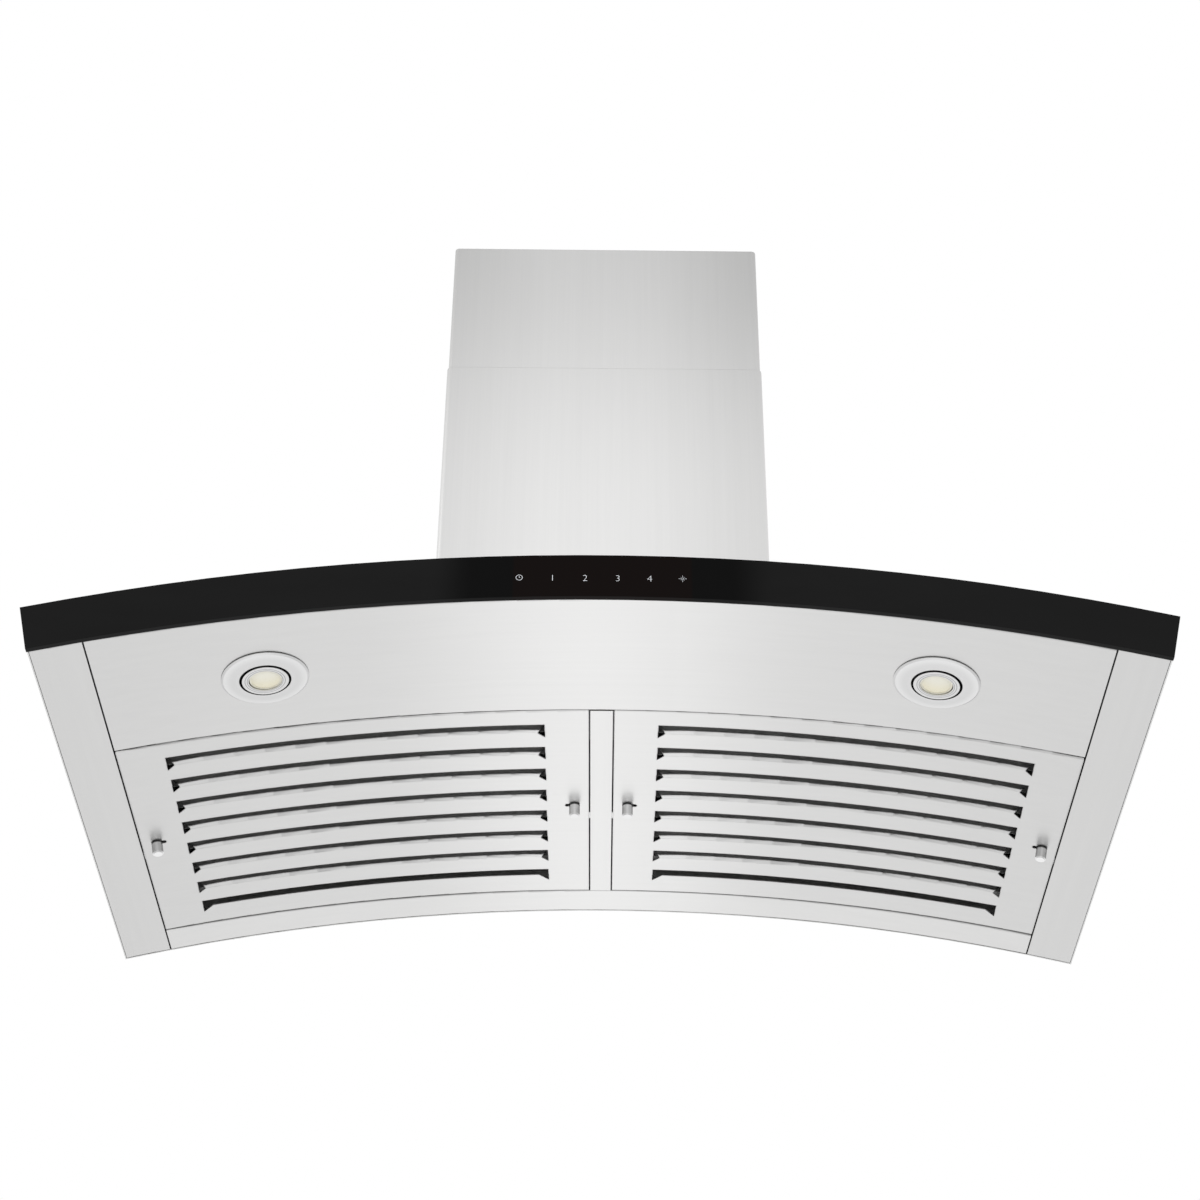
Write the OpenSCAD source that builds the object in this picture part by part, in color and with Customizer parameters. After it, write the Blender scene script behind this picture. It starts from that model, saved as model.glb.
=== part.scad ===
// Wall mount range hood with an arched slab canopy and a telescoping chimney.
// Origin: on the wall, on the centre line, at the middle of the four wall fixings.
// +X is to the right seen from the kitchen, +Y runs into the wall and +Z is up.

/* [Canopy] */
// Width over the two top corners of the glass band
canopy_w = 900; // [760:10:1200]
// Depth from the wall to the face of the glass
canopy_d = 500; // [460:5:600]
// Height of the arched slab, square to the arch
band_h = 40; // [38:1:60]
// Rise of the outer arch over the canopy's width
arch_rise = 55.4; // [30:0.1:90]
// Sheet of the canopy shell
shell_t = 1; // [0.8:0.1:1.5]
// Outer radius of the bend between the top and the ends
shell_bend = 2.5; // [2:0.1:6]
// Height of the wall fixings above the crown of the underside
fix_h = 200; // [160:5:260]

/* [Underside panels] */
// Sheet of the panels, filters and divider
panel_t = 0.8; // [0.6:0.1:1]
// Outer radius of their bent edges
panel_bend = 1.6; // [1.5:0.1:4]
// Open seam between two panels, or between a panel and a filter
seam = 1.2; // [1:0.1:3]
// Depth of the strip that carries the lamps
light_d = 155.7; // [120:0.1:190]
// Depth of the rear rail
rail_d = 37.8; // [25:0.1:60]
// Width of each end panel
end_panel_w = 41; // [25:1:70]
// Width of the strip between the filters
divider_w = 18.9; // [14:0.1:40]
// Height of the upturned edges round the filters
flange_h = 15; // [10:1:20]
// Height of the upturned edge behind the glass
front_flange_h = 6; // [4:0.5:6.5]

/* [Glass band] */
// Thickness of the glass
glass_t = 5; // [4:0.5:8]
// Reach of the glass past each steel end
glass_over = 0.6; // [0.2:0.1:3]

/* [Touch control] */
// Width of the control tray
control_w = 188; // [160:1:240]
// Height of the control tray
control_h = 26; // [20:1:27]
// Depth of the control tray
control_deep = 14; // [10:1:24]
// Wall of the control tray
control_wall = 1.5; // [1:0.1:2.5]
// Thickness of the circuit board
board_t = 1.6; // [1:0.1:2.4]

/* [Lamps] */
// Distance of each lamp from its end of the canopy
lamp_in = 180.5; // [120:0.5:260]
// Distance of the lamps from the wall
lamp_d = 414; // [385:1:440]
// Outer radius of the bezel
bezel_r = 35; // [33:0.5:45]
// Radius of the hole in the panel
lamp_hole_r = 31.3; // [29:0.1:32]
// Radius of the bezel's opening
bezel_open_r = 20.6; // [19:0.1:26]
// Radius of the lamp's barrel
barrel_r = 18.7; // [15:0.1:19.5]
// Radius of the lens
lens_r = 13; // [10:0.1:14]
// Height of the lamp's can
can_h = 26; // [18:1:30]
// How far the lamp's barrel stands out of the panel
barrel_out = 3.7; // [2:0.1:4]
// How far the bezel stands out of the panel, and the height of its outer rim
bezel_h = 3.1; // [2.6:0.1:4]
bezel_rim = 1.2; // [0.9:0.1:1.4]

// Width of the lamp supply
driver_w = 120; // [80:1:160]
// Depth of the lamp supply
driver_d = 40; // [30:1:50]
// Height of the lamp supply
driver_h = 22; // [16:1:22]
// Distance of the lamp supply from the front
driver_front = 65; // [30:1:80]

/* [Grease filters] */
// Height of the filter's tray
tray_h = 16; // [16:0.5:20]
// Number of louver slots in a filter
louver_n = 8; // [4:1:8]
// Pitch of the slots
louver_pitch = 34.3; // [30:0.1:36]
// Solid margin in front of the first slot
louver_lead = 20.2; // [14:0.1:30]
// Solid margin beside the slots
louver_margin = 37.2; // [37:0.1:60]
// Width of a slot
louver_gap = 10.5; // [8:0.1:14]
// Length of the flared end of a slot
flare_l = 19.6; // [14:0.1:24]
// Reach of the flare along the slot
flare_w = 8.5; // [3:0.1:9]
// Height of the flap that is bent up from each slot
flap_h = 9.5; // [6:0.1:11]
// Outer bend radius of the flaps
flap_bend = 2.5; // [1.5:0.1:4]
// Sheet of the inner baffle
baffle_t = 0.6; // [0.5:0.1:1]
// Height of the inner baffle above the face
baffle_h = 14.6; // [13:0.1:15]
// How far a baffle channel reaches past each side of a slot
baffle_reach = 4; // [2:0.1:6]

/* [Filter latches] */
// Distance of the latch knobs from the wall
knob_d = 189.5; // [120:0.5:240]
// Distance of a knob from the filter's end
knob_inset = 12.7; // [12:0.1:14]
// Radius of a knob
knob_r = 4.7; // [3.5:0.1:6]
// Height of a knob
knob_h = 11.3; // [8:0.1:16]
// Radius of the knob's stem
stem_r = 2; // [1:0.1:2.2]
// Travel of a latch
latch_travel = 6; // [5:0.5:8]
// Thickness of the latch bolt
bolt_t = 1.5; // [1:0.1:2]
// Reach of the bolt's tongue from the knob
tongue_reach = 16.5; // [16:0.1:17.5]
// Width of the bolt's tongue
tongue_w = 10; // [6:0.5:10]

/* [Chimney] */
// Width of the lower cover
lower_w = 300; // [290:5:360]
// Depth of the lower cover
lower_d = 285; // [285:5:340]
// Height of the lower cover above the crown of the canopy
lower_h = 388.5; // [380:0.5:480]
// Sheet of both covers
cover_t = 0.8; // [0.6:0.1:1]
// Outer radius of the lower cover's upright edges
cover_bend = 5.5; // [4:0.5:9]
// Gap between the two covers
cover_gap = 0.4; // [0.3:0.1:1]
// Length of the upper cover
upper_h = 380; // [360:5:420]
// Length of the upper cover that shows
upper_show = 157.5; // [140:0.5:200]
// Height of the ceiling bracket
bracket_h = 40; // [30:1:60]
// Sheet of the ceiling bracket
bracket_t = 1.5; // [1:0.1:3]
// Length of the bracket's ears
ear_d = 36; // [24:1:60]
// Length of the bracket's slots
slot_l = 16; // [10:1:24]
// Width of the bracket's slots
slot_w = 6; // [4:0.5:8]

/* [Motor box] */
// Room between the motor box and each side of the lower cover
box_side = 20; // [19:0.5:25]
// Room between the electrical box and the front of the lower cover
box_front = 7; // [3:0.5:8]
// Height of the motor box above the crown of the canopy
box_h = 290; // [280:1:320]
// Sheet of the motor box
box_t = 1.2; // [0.8:0.1:2]
// Spacing of the wall fixings across
fix_x = 200; // [160:5:220]
// Spacing of the wall fixings up
fix_z = 160; // [100:5:200]
// Radius of the wall fixing holes
fix_r = 4; // [3:0.5:5]
// Width of the electrical box
elec_w = 150; // [120:1:180]
// Height of the electrical box
elec_h = 90; // [60:1:110]
// Depth of the electrical box
elec_d = 28; // [24:1:32]
// Radius of the cable's hole
gland_r = 4.5; // [3:0.1:6]

/* [Blower] */
// Distance of the blower's axis from the wall
blower_d = 100; // [96:1:104]
// Height of the blower's axis above the crown of the canopy
blower_h = 112; // [106:1:130]
// Radius of the impeller
impeller_r = 70; // [60:0.5:72]
// Length of the impeller
impeller_w = 100; // [80:1:100]
// Number of blades
blade_n = 32; // [20:1:40]
// Inside width of the scroll
scroll_w = 110; // [108:1:120]
// First radius of the scroll, above the impeller
scroll_r = 80; // [78:1:82]
// Growth of the scroll's radius in each quarter turn
scroll_step = 10; // [6:1:10]
// Radius of the shaft
shaft_r = 4; // [3:0.1:6]
// Radius of the motor
motor_r = 44; // [36:1:46]

/* [Outlet] */
// Outer radius of the outlet collar
collar_r = 75; // [70:0.5:75]
// Wall of the collar
collar_t = 2; // [1.5:0.1:3]
// Length of the collar
collar_l = 60; // [40:1:60]
// Height of the flap pin above the box
pin_h = 20; // [14:1:30]
// Radius of the flap pin
pin_r = 2; // [1.5:0.1:2.5]
// Thickness of the flaps
damper_t = 1.2; // [0.8:0.1:1.6]

/* [Hidden] */

// Fineness of small and of very large curves
$fn = 64;
arch_fn = 360;
// Gap at the seats of curved pieces, and a small overrun for cuts
seat = 0.3;
cut = 1;

steel = [0.85, 0.86, 0.87];
bright = [0.93, 0.93, 0.93];
zinc = [0.72, 0.74, 0.76];
black = [0.08, 0.07, 0.07];
plastic = [0.22, 0.22, 0.23];
dark_glass = [0.05, 0.05, 0.05];
board = [0.1, 0.35, 0.2];
warm_white = [1, 0.96, 0.85];

// The arch
outer_r = (pow(canopy_w / 2, 2) + pow(arch_rise, 2)) / (2 * arch_rise);
under_r = outer_r - band_h;
arch_z = -fix_h - under_r;
crown_z = -fix_h + band_h;
glass_a = asin(canopy_w / 2 / outer_r);
steel_a = asin((canopy_w / 2 - glass_over) / outer_r);
steel_d = canopy_d - glass_t;

// The underside's layout, as distances from the centre line and from the wall
under_x = under_r * sin(steel_a);
panel_x = under_x - end_panel_w - seam / 2;
end_x = panel_x + seam;
light_back = steel_d - light_d + seam / 2;
filter_d0 = rail_d + seam / 2;
filter_d1 = light_back - seam;
filter_x0 = divider_w / 2 + seam;
filter_x1 = panel_x;
slot_x0 = filter_x0 + louver_margin;
slot_x1 = filter_x1 - louver_margin;
flap_lean = flare_w / louver_gap;

// The lamps: their place, neck of the bezel, its gap to the panel, and the face of the can
lamp_x = canopy_w / 2 - lamp_in;
lamp_seat = 0.5;
neck_r = lamp_hole_r - 1.5 * lamp_seat;
neck_h = 12;
neck_t = 1.6;
can_w = 2;

// The latches, in the frame of their knob: u to the filter's end, v to the wall and w up
bolt_w = panel_t + 2.2;
bolt_back = -5;
bolt_front = 6;
bolt_v0 = -7;
tongue_v0 = 17;
tongue_v1 = tongue_v0 + tongue_w;
guide_back = bolt_back - latch_travel - 5.3;
guide_front = knob_inset - 2.2;
guide_wall = 1.2;
windows_n = 5;
window_bar = 6;
window_u = knob_inset + 2.8;
window_half = 6.5;
slot_r = stem_r + seat;
spring_v = 5;
spring_r = 1.8;
wire_r = 0.3;
spring_w = bolt_w + bolt_t / 2;

// The chimney and what it covers
lower_top = crown_z + lower_h;
upper_w = lower_w - 2 * cover_t - 2 * cover_gap;
upper_d = lower_d - cover_t - cover_gap;
upper_top = lower_top + upper_show;
bracket_z = upper_top - bracket_h / 2 - 6;
return_w = 8;
upper_back = cover_t + 0.5;
box_w = lower_w - 2 * box_side;
box_d = lower_d - box_front - elec_d;
box_top = crown_z + box_h;
box_flange = 8;
flange_mid = (box_flange + seat) / 2;
air_edge = 15;
elec_z = crown_z + 60;
gland_l = 16;
tab_w = 9;
tab_l = 30;
blower_z = crown_z + blower_h;
duct_in = 18;
duct_out = scroll_r + 3 * scroll_step;
outlet_d = blower_d + (duct_in + duct_out) / 2;
inlet_r = impeller_r - 14;
inlet_curl = 6;
inlet_rim = 10;
scroll_t = 1.2;
blade_w = 10;

// Screws: head radius, head height and shank radius, shank length
head_r = 3.6;
head_h = 2.2;
shank_r = 1.9;
shank_l = 6;
screw_hole_r = 2.1;
tab_spots = [for (x = [-1, 1]) for (d = [1, 3]) [x * (lower_w / 2 - cover_t - tab_w / 2), d * lower_d / 4]];
box_edge = box_w / 2 + flange_mid;
box_spots = [for (s = [-1, 1])
    for (p = [[box_edge, box_d / 4], [box_edge, 3 * box_d / 4], [0.3 * box_w, box_d + flange_mid]])
        [s * p[0], p[1]]];
collar_spots = [for (x = [-1, 1]) for (y = [-1, 1]) [x, y] * (collar_r - 5)];

function arch_angle(x) = asin(x / under_r);
function top_z(x) = arch_z + sqrt(pow(outer_r, 2) - x * x);
function louver_a(i) = filter_d1 - louver_lead - i * louver_pitch;
function louver_b(i) = louver_a(i) - louver_gap;

// helpers

// Sweeps a section of height above the underside and distance from the wall along the arch.
module under_sweep(x0, x1) {
    translate([0, 0, arch_z])
        rotate([90, 0, 0])
            rotate([0, 0, 90 - arch_angle(x1)])
                rotate_extrude(angle = arch_angle(x1) - arch_angle(x0), $fn = arch_fn)
                    translate([under_r, 0])
                        children();
}

// Extrudes a section drawn round the arch's axis between two distances from the wall.
module across(d0, d1) {
    translate([0, -d0, arch_z])
        rotate([90, 0, 0])
            linear_extrude(d1 - d0)
                children();
}

// Part of a ring round the arch's axis, up to an angle on each side of the crown.
module sector_2d(r0, r1, a) {
    intersection() {
        difference() {
            circle(r1, $fn = arch_fn);
            circle(r0, $fn = arch_fn);
        }
        polygon([[0, 0], 2 * r1 * [-sin(a), cos(a)], 2 * r1 * [sin(a), cos(a)]]);
    }
}

// Quarter of a bent sheet's edge, turned by a multiple of 90 degrees.
module corner_2d(r, t, turn) {
    rotate(turn)
        intersection() {
            difference() {
                circle(r);
                circle(r - t);
            }
            square(r + cut);
        }
}

// Section of a pan from d0 to d1, with an upturned edge at each end that has a height.
module pan_2d(d0, d1, h0, h1, t, b) {
    e0 = h0 > 0 ? b : 0;
    e1 = h1 > 0 ? b : 0;
    translate([0, d0 + e0])
        square([t, d1 - d0 - e0 - e1]);
    if (h0 > 0) {
        translate([b, d0 + b])
            corner_2d(b, t, 180);
        translate([b, d0])
            square([h0 - b, t]);
    }
    if (h1 > 0) {
        translate([b, d1 - b])
            corner_2d(b, t, 90);
        translate([b, d1 - t])
            square([h1 - b, t]);
    }
}

// Block between two distances from the centre line, as deep and high as the canopy.
module slab_x(x0, x1) {
    translate([x0, -canopy_d - cut, crown_z - 4 * band_h])
        cube([x1 - x0, canopy_d + 2 * cut, 6 * band_h]);
}

// Places a piece on the underside at a distance from the centre line, square to the arch.
module at_arch(x, d) {
    translate([0, -d, arch_z])
        rotate([0, arch_angle(x), 0])
            translate([0, 0, under_r])
                children();
}

// Box by its two corners.
module block(a, b) {
    translate(a)
        cube(b - a);
}

// Cylinder along X from x0 to x1.
module rod_x(r, x0, x1) {
    translate([x0, 0, 0])
        rotate([0, 90, 0])
            cylinder(r = r, h = x1 - x0);
}

// Extrudes a section of distance from the wall and height along X.
module along_x(x0, x1) {
    translate([x0, 0, 0])
        mirror([0, 1, 0])
            rotate([90, 0, 90])
                linear_extrude(x1 - x0)
                    children();
}

// Revolves a section of radius and X about the X axis.
module about_x() {
    rotate([0, 90, 0])
        rotate_extrude()
            children();
}

module screw() {
    translate([0, 0, -shank_l])
        cylinder(r = shank_r, h = shank_l + cut / 2);
    intersection() {
        cylinder(r = head_r, h = head_h);
        translate([0, 0, head_h - 2 * head_r])
            sphere(2 * head_r);
    }
}

// canopy

// Radial end wall of the shell with its bend into the top.
module shell_end_2d() {
    slip = asin(shell_bend / (outer_r - shell_bend));
    bend_z = (outer_r - shell_bend) * cos(slip);
    rotate(-steel_a) {
        translate([-shell_t, under_r])
            square([shell_t, bend_z - under_r]);
        translate([-shell_bend, bend_z])
            intersection() {
                difference() {
                    circle(shell_bend);
                    circle(shell_bend - shell_t);
                }
                polygon(2 * shell_bend * [[0, 0], [1, 0], [1, 1], [-tan(slip), 1]]);
            }
    }
}

// Front or back wall of the shell, from a height above the underside to the top.
module shell_wall_2d(h) {
    slip = asin(shell_bend / (outer_r - shell_bend));
    sector_2d(under_r + h, outer_r - shell_t / 2, steel_a - slip);
    for (s = [0, 1])
        mirror([s, 0])
            rotate(-steel_a)
                translate([-shell_bend - cut, under_r + h])
                    square([shell_bend + cut - shell_t / 2, band_h - h - shell_bend]);
}

module canopy_shell() {
    slip = asin(shell_bend / (outer_r - shell_bend));
    color(steel)
        difference() {
            union() {
                across(0, steel_d) {
                    sector_2d(outer_r - shell_t, outer_r, steel_a - slip);
                    shell_end_2d();
                    mirror([1, 0])
                        shell_end_2d();
                }
                across(steel_d - shell_t, steel_d)
                    shell_wall_2d(front_flange_h + seat);
                across(0, shell_t)
                    shell_wall_2d(0);
            }
            block([-box_w / 2 + air_edge, -box_d + air_edge, crown_z - band_h / 2],
                [box_w / 2 - air_edge, -air_edge, crown_z + cut]);
            block([-control_w / 2 - cut, -canopy_d, -fix_h + band_h / 2 - control_h / 2 - cut],
                [control_w / 2 + cut, -steel_d + 2 * shell_t, -fix_h + band_h / 2 + control_h / 2 + cut]);
            for (p = concat(tab_spots, box_spots))
                translate([p[0], -p[1], top_z(p[0]) - 3 * shell_t])
                    cylinder(r = screw_hole_r, h = 6 * shell_t);
        }
}

module light_panel() {
    color(steel)
        difference() {
            intersection() {
                under_sweep(-under_x, under_x)
                    pan_2d(light_back, steel_d, flange_h, front_flange_h, panel_t, panel_bend);
                slab_x(-panel_x, panel_x);
            }
            for (s = [-1, 1])
                at_arch(s * lamp_x, lamp_d)
                    translate([0, 0, -cut])
                        cylinder(r = lamp_hole_r, h = panel_t + 2 * cut);
        }
}

// Right end panel: swept like the light panel, with an upturned edge beside the filter.
module end_panel() {
    color(steel)
        difference() {
            union() {
                intersection() {
                    under_sweep(0, under_r * sin(steel_a) - shell_t - seat)
                        pan_2d(shell_t, steel_d, flange_h, front_flange_h, panel_t, panel_bend);
                    slab_x(end_x, under_x);
                }
                intersection() {
                    under_sweep(0, under_x - shell_t - seat)
                        translate([panel_t / 2, shell_t + panel_bend])
                            square([flange_h - panel_t / 2, light_back - shell_t - panel_bend]);
                    slab_x(end_x, end_x + panel_t);
                }
            }
            latch_window(filter_x1 - knob_inset, 1);
        }
}

module rear_rail() {
    color(steel)
        intersection() {
            under_sweep(-under_x, under_x)
                pan_2d(shell_t, rail_d - seam / 2, flange_h, flange_h, panel_t, panel_bend);
            slab_x(-panel_x, panel_x);
        }
}

// Channel between the filters. Its sides reach the upturned edges in front and behind.
module centre_divider() {
    color(steel)
        difference() {
            union() {
                intersection() {
                    under_sweep(-divider_w, divider_w)
                        translate([0, filter_d0])
                            square([panel_t, filter_d1 - filter_d0]);
                    slab_x(-divider_w / 2, divider_w / 2);
                }
                for (s = [0, 1])
                    mirror([s, 0, 0]) {
                        intersection() {
                            under_sweep(0, divider_w)
                                translate([panel_t / 2, filter_d0])
                                    square([flange_h - panel_t / 2, filter_d1 - filter_d0]);
                            slab_x(divider_w / 2 - panel_t, divider_w / 2);
                        }
                        intersection() {
                            under_sweep(0, divider_w)
                                translate([flange_h / 2, filter_d0 - seam])
                                    square([flange_h / 2, filter_d1 - filter_d0 + 2 * seam]);
                            slab_x(divider_w / 2 - panel_t, divider_w / 2);
                        }
                    }
            }
            for (s = [0, 1])
                mirror([s, 0, 0])
                    latch_window(filter_x0 + knob_inset, -1);
        }
}

module glass_fascia() {
    color(dark_glass)
        across(steel_d, canopy_d)
            sector_2d(under_r, outer_r, glass_a);
}

// Open tray behind the glass, with the circuit board near its mouth.
module control_housing() {
    mid_z = -fix_h + band_h / 2;
    color(plastic)
        difference() {
            block([-control_w / 2, -steel_d, mid_z - control_h / 2],
                [control_w / 2, -steel_d + control_deep, mid_z + control_h / 2]);
            block([-control_w / 2 + control_wall, -steel_d - cut, mid_z - control_h / 2 + control_wall],
                [control_w / 2 - control_wall, -steel_d + control_deep - control_wall,
                    mid_z + control_h / 2 - control_wall]);
        }
}

module touch_board() {
    mid_z = -fix_h + band_h / 2;
    edge = control_wall + seat;
    color(board)
        block([-control_w / 2 + edge, -steel_d + seat, mid_z - control_h / 2 + edge],
            [control_w / 2 - edge, -steel_d + seat + board_t, mid_z + control_h / 2 - edge]);
}

// lamps

// Domed bezel with a neck that passes through the panel.
module lamp_bezel() {
    rise = bezel_h - bezel_rim;
    color(bright)
        rotate_extrude()
            polygon([[bezel_open_r, -bezel_rim], [bezel_open_r, -bezel_h], [bezel_open_r + 1.5 * rise, -bezel_h],
                [bezel_r - 0.8 * rise, -bezel_rim - rise / 2], [bezel_r, -bezel_rim], [bezel_r, -lamp_seat],
                [neck_r, -lamp_seat], [neck_r, neck_h], [neck_r - neck_t, neck_h],
                [neck_r - neck_t, -bezel_rim]]);
}

// Can with cooling grooves, and the barrel that holds the lens.
module lamp_body() {
    can_r = neck_r - neck_t - seat;
    groove_w = 2;
    color(zinc)
        difference() {
            union() {
                translate([0, 0, can_w])
                    cylinder(r = can_r, h = can_h);
                translate([0, 0, -barrel_out])
                    cylinder(r = barrel_r, h = barrel_out + can_w + cut);
            }
            translate([0, 0, -barrel_out - cut])
                cylinder(r = lens_r + seat, h = barrel_out + can_w + cut);
            for (i = [0:2])
                translate([0, 0, neck_h + groove_w * (2 * i + 1)])
                    difference() {
                        cylinder(r = can_r + cut, h = groove_w);
                        translate([0, 0, -cut])
                            cylinder(r = can_r - 2.5 * groove_w, h = groove_w + 2 * cut);
                    }
        }
}

// Domed frosted lens.
module lamp_lens() {
    dome = 2.6;
    dome_r = (lens_r * lens_r + dome * dome) / (2 * dome);
    front = -barrel_out - seat;
    color(warm_white)
        intersection() {
            translate([0, 0, front + dome_r])
                sphere(dome_r, $fn = 128);
            translate([0, 0, front - cut])
                cylinder(r = lens_r, h = can_w - seat - front + cut);
        }
}

// Lamp supply under the top sheet, above the light panel.
module led_driver() {
    top = top_z(driver_w / 2) - shell_t - seat;
    front = canopy_d - driver_front;
    color(plastic)
        block([-driver_w / 2, -front, top - driver_h], [driver_w / 2, -front + driver_d, top]);
}

// grease filters

// Flared ends of all slots at one side, through the face only.
module flares(x, side) {
    past = 1 + cut / (flare_l - louver_gap);
    intersection() {
        for (i = [0:louver_n - 1])
            translate([0, 0, arch_z + under_r - 2 * band_h])
                linear_extrude(3 * band_h)
                    polygon([[x - side * seat, -louver_b(i) - cut], [x - side * seat, -louver_a(i) + flare_l],
                        [x + side * past * flare_w, -louver_b(i) - cut]]);
        across(0, steel_d)
            sector_2d(under_r - cut, under_r + panel_t + 0.05, steel_a);
    }
}

// What is cut off the ends of the flaps at one side, so that they lean outwards.
module flap_trim(x, side) {
    low = -flap_h;
    high = 2 * flap_h;
    away = 3 * louver_margin;
    back = filter_d0 + 2 * flap_bend;
    root_w = flare_w * (1 - flap_bend / (flare_l - louver_gap)) - seat;
    at_arch(x + side * root_w, back)
        rotate([90, 0, 0])
            linear_extrude(filter_d1 - louver_lead / 2 - back)
                polygon([[-side * flap_lean * low, low], [-side * away, low],
                    [-side * away, high], [-side * flap_lean * high, high]]);
}

// Slots of the face. All but the last leave room for the bend of their flap.
module louver_slots() {
    under_sweep(slot_x0, slot_x1)
        for (i = [0:louver_n - 1]) {
            back = louver_b(i) - (i < louver_n - 1 ? flap_bend : 0);
            translate([-cut, back])
                square([panel_t + 2 * cut, louver_a(i) - back]);
        }
}

// Flaps that are bent up behind the slots. The last slot has none.
module louver_flaps() {
    root = 1.5;
    difference() {
        under_sweep(0, under_x)
            for (i = [0:louver_n - 2]) {
                bend_d = louver_b(i) - flap_bend;
                translate([0, bend_d - root])
                    square([panel_t, root]);
                translate([flap_bend, bend_d])
                    corner_2d(flap_bend, panel_t, 90);
                translate([flap_bend, louver_b(i) - panel_t])
                    square([flap_h - flap_bend, panel_t]);
            }
        flap_trim(slot_x0, 1);
        flap_trim(slot_x1, -1);
    }
}

// Right filter's louvered face, with its four upturned edges.
module filter_face() {
    depth = filter_d1 - filter_d0;
    color(steel) {
        difference() {
            union() {
                intersection() {
                    under_sweep(0, under_x)
                        pan_2d(filter_d0, filter_d1, tray_h, tray_h, panel_t, panel_bend);
                    slab_x(filter_x0, filter_x1);
                }
                for (x = [filter_x0, filter_x1 - panel_t])
                    intersection() {
                        under_sweep(0, under_x)
                            translate([panel_t / 2, filter_d0 + panel_bend])
                                square([tray_h - panel_t / 2, depth - 2 * panel_bend]);
                        slab_x(x, x + panel_t);
                    }
            }
            louver_slots();
            flares(slot_x0, 1);
            flares(slot_x1, -1);
            knob_slot(filter_x0 + knob_inset, -1);
            knob_slot(filter_x1 - knob_inset, 1);
            latch_window(filter_x0 + knob_inset, -1);
            latch_window(filter_x1 - knob_inset, 1);
        }
        louver_flaps();
    }
}

// Inner baffle of the right filter: a sheet with a row of windows behind each channel, and lips
// that hang down on both sides of the channels. Past the slots the lips are only a low bead.
module filter_baffle() {
    low = baffle_reach + panel_t;
    bead = 1;
    inner_d0 = filter_d0 + panel_t + seat;
    inner_d = filter_d1 - panel_t - seat - inner_d0;
    window = louver_pitch - louver_gap - 3 * baffle_reach - 2 * seat;
    step = (slot_x1 - slot_x0 + window_bar) / windows_n;
    color(zinc)
        intersection() {
            difference() {
                under_sweep(0, under_x) {
                    translate([baffle_h, inner_d0])
                        square([baffle_t, inner_d]);
                    for (i = [0:louver_n - 2])
                        for (d = [louver_a(i) + baffle_reach - baffle_t, louver_b(i) - 2 * baffle_reach])
                            translate([low, d])
                                square([baffle_h - low + baffle_t / 2, baffle_t]);
                }
                for (x = [[0, slot_x0 - baffle_reach], [slot_x1 + baffle_reach, under_x + cut]])
                    under_sweep(x[0], x[1])
                        translate([low - cut, inner_d0 - cut])
                            square([baffle_h - bead - low + cut, inner_d + 2 * cut]);
                for (x = [slot_x0:step:slot_x1])
                    under_sweep(x, x + step - window_bar)
                        for (i = [0:louver_n - 2])
                            translate([baffle_h - cut, louver_b(i) - 2 * baffle_reach - seat - window])
                                square([baffle_t + 2 * cut, window]);
            }
            slab_x(filter_x0 + panel_t + seat, filter_x1 - panel_t - seat);
        }
}

// filter latches. side is 1 where the tongue points outwards and -1 where it points inwards.

// Frame of a latch: origin under its knob, +X towards the filter's end and +Y to the wall.
module latch_frame(x, side) {
    at_arch(x, knob_d)
        mirror([side < 0 ? 1 : 0, 0, 0])
            children();
}

// Slot that the knob's stem runs in.
module knob_slot(x, side) {
    at_arch(x, knob_d)
        translate([0, 0, -cut]) {
            h = 2 * cut + panel_t;
            cylinder(r = slot_r, h = h);
            translate([-side * latch_travel, 0, 0])
                cylinder(r = slot_r, h = h);
            translate([-side * latch_travel / 2 - latch_travel / 2, -slot_r, 0])
                cube([latch_travel, 2 * slot_r, h]);
        }
}

// Opening for the tongue, through the filter's edge and through what it locks into.
module latch_window(x, side) {
    at_arch(x, knob_d)
        translate([side * window_u - window_half, tongue_v0 - seat, bolt_w - seat])
            cube([2 * window_half, tongue_w + 2 * seat, bolt_t + 2 * seat]);
}

module latch_guide(x, side) {
    top = spring_w + spring_r + wire_r + seat + guide_wall;
    mid = -side * latch_travel / 2;
    at_arch(x, knob_d)
        difference() {
            mirror([side < 0 ? 1 : 0, 0, 0])
                difference() {
                    block([guide_back - guide_wall, bolt_v0 - seat - guide_wall, panel_t + 0.05],
                        [guide_front, tongue_v1 + seat + guide_wall, top]);
                    block([guide_back, bolt_v0 - seat, bolt_w - seat],
                        [guide_front + cut, tongue_v1 + seat, bolt_w + bolt_t + seat]);
                    block([guide_back, spring_v - spring_r - wire_r - seat, spring_w - spring_r - wire_r - seat],
                        [bolt_back, spring_v + spring_r + wire_r + seat, spring_w + spring_r + wire_r + seat]);
                }
            translate([mid - latch_travel / 2 - slot_r, -slot_r, 0])
                cube([latch_travel + 2 * slot_r, 2 * slot_r, bolt_w]);
        }
}

module latch_guides() {
    color(plastic) {
        latch_guide(filter_x0 + knob_inset, -1);
        latch_guide(filter_x1 - knob_inset, 1);
    }
}

module latch_bolt(x, side) {
    color(bright)
        latch_frame(x, side)
            translate([0, 0, bolt_w])
                linear_extrude(bolt_t)
                    polygon([[bolt_back, bolt_v0], [bolt_front, bolt_v0], [bolt_front, tongue_v0],
                        [tongue_reach, tongue_v0], [tongue_reach, tongue_v1], [bolt_back, tongue_v1]]);
}

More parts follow.
